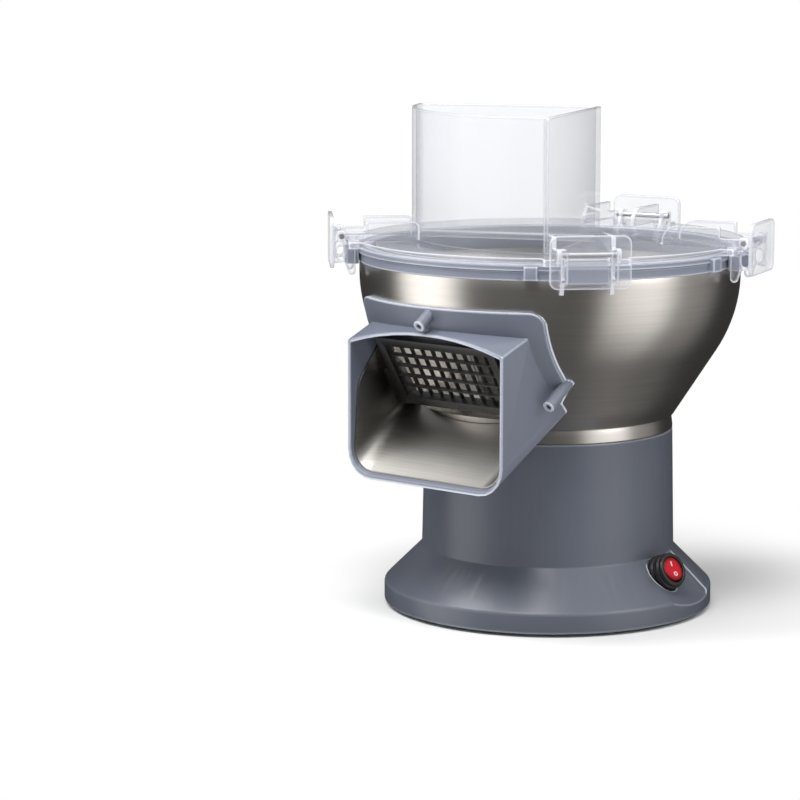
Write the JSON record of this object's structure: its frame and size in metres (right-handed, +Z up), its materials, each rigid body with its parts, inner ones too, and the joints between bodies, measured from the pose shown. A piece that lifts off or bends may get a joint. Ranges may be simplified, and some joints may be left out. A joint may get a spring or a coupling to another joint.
{
  "type": "industrial vegetable dicer",
  "caption": "Upright vegetable dicer: grey motor base with red rocker switch, steel bowl, front discharge chute over a knife grid, clear latched lid with feed hopper.",
  "frame": {"origin": "on the standing surface, under the axis of the bowl", "axes": "+Z up along the bowl's axis, -Y towards the chute's mouth, +X towards the switch"},
  "size_m": [0.3219, 0.3351, 0.3873],
  "materials": {
    "base_grey": "smooth satin blue-grey paint",
    "chute_grey": "fine moulded satin blue-grey",
    "ring_grey": "smooth satin light blue-grey",
    "bowl_steel": "spun satin stainless steel",
    "blade_steel": "ground stainless steel",
    "drive_steel": "machined steel",
    "motor_dark": "dark stove enamel",
    "tower_alloy": "cast and turned alloy",
    "clear_plastic": "clear polycarbonate",
    "black_rubber": "matt black rubber",
    "gasket_pale": "pale grey silicone rubber",
    "boot_black": "satin black switch boot",
    "rocker_red": "translucent red"
  },
  "bodies": {
    "machine": {"base_housing": "base_grey", "base_plate": "base_grey", "rubber_foot_ring": "black_rubber", "base_screws": "drive_steel", "cable_gland": "black_rubber", "gear_carrier": "tower_alloy", "carrier_screws": "drive_steel", "motor": "motor_dark", "lower_bearing": "drive_steel", "upper_bearing": "drive_steel", "bearing_tower": "tower_alloy", "shaft_seal": "black_rubber", "bowl_collar": "bowl_steel", "bowl": "bowl_steel", "rim_ring": "ring_grey", "latch_keepers": "ring_grey", "rim_gasket": "gasket_pale", "knife_grid_frame": "blade_steel", "upright_knives": "blade_steel", "cross_knives": "blade_steel", "chute": "chute_grey", "chute_liner": "bowl_steel", "chute_screws": "drive_steel", "switch_boot": "boot_black"},
    "rotor": {"spindle": "drive_steel", "spindle_gear": "drive_steel", "rotor_plate": "blade_steel", "pusher_vanes": "blade_steel", "rotor_nut": "blade_steel"},
    "motor_rotor": {"motor_pinion": "drive_steel"},
    "lid": {"lid": "clear_plastic", "feed_hopper": "clear_plastic", "latch_pins": "drive_steel"},
    "rocker": {"switch_rocker": "rocker_red"},
    "latch_left": {"latch_left": "clear_plastic"},
    "latch_front": {"latch_front": "clear_plastic"},
    "latch_right": {"latch_right": "clear_plastic"},
    "latch_back": {"latch_back": "clear_plastic"}
  },
  "joints": [
    {"name": "rotor_spin", "type": "hinge", "parent": "machine", "child": "rotor", "pos_m": [0, 0, 0.16], "axis": [0, 0, 1], "continuous": true},
    {"name": "motor_spin", "type": "hinge", "parent": "machine", "child": "motor_rotor", "pos_m": [0, 0.05612, 0.115], "axis": [0, 0, 1], "continuous": true},
    {"name": "lid_lift", "type": "slide", "parent": "machine", "child": "lid", "axis": [0, 0, 1], "range_m": [0, 0.15]},
    {"name": "latch_left_swing", "type": "hinge", "parent": "lid", "child": "latch_left", "pos_m": [-0.11826, -0.11028, 0.2909], "axis": [-0.682, 0.7314, 0], "range_deg": [0, 90]},
    {"name": "latch_front_swing", "type": "hinge", "parent": "lid", "child": "latch_front", "pos_m": [0.11826, -0.11028, 0.2909], "axis": [-0.682, -0.7314, 0], "range_deg": [0, 90]},
    {"name": "latch_right_swing", "type": "hinge", "parent": "lid", "child": "latch_right", "pos_m": [0.15463, 0.04728, 0.2909], "axis": [0.2924, -0.9563, 0], "range_deg": [0, 90]},
    {"name": "latch_back_swing", "type": "hinge", "parent": "lid", "child": "latch_back", "pos_m": [-0.0253, 0.15971, 0.2909], "axis": [0.9877, 0.1564, 0], "range_deg": [0, 90]},
    {"name": "switch_rock", "type": "hinge", "parent": "machine", "child": "rocker", "pos_m": [0.1154, 0.00244, 0.03931], "axis": [0.1219, 0.9925, 0], "range_deg": [0, 14]}
  ],
  "couplings": [
    {"joint": "motor_spin", "follows": "rotor_spin", "ratio": -3.5714}
  ]
}
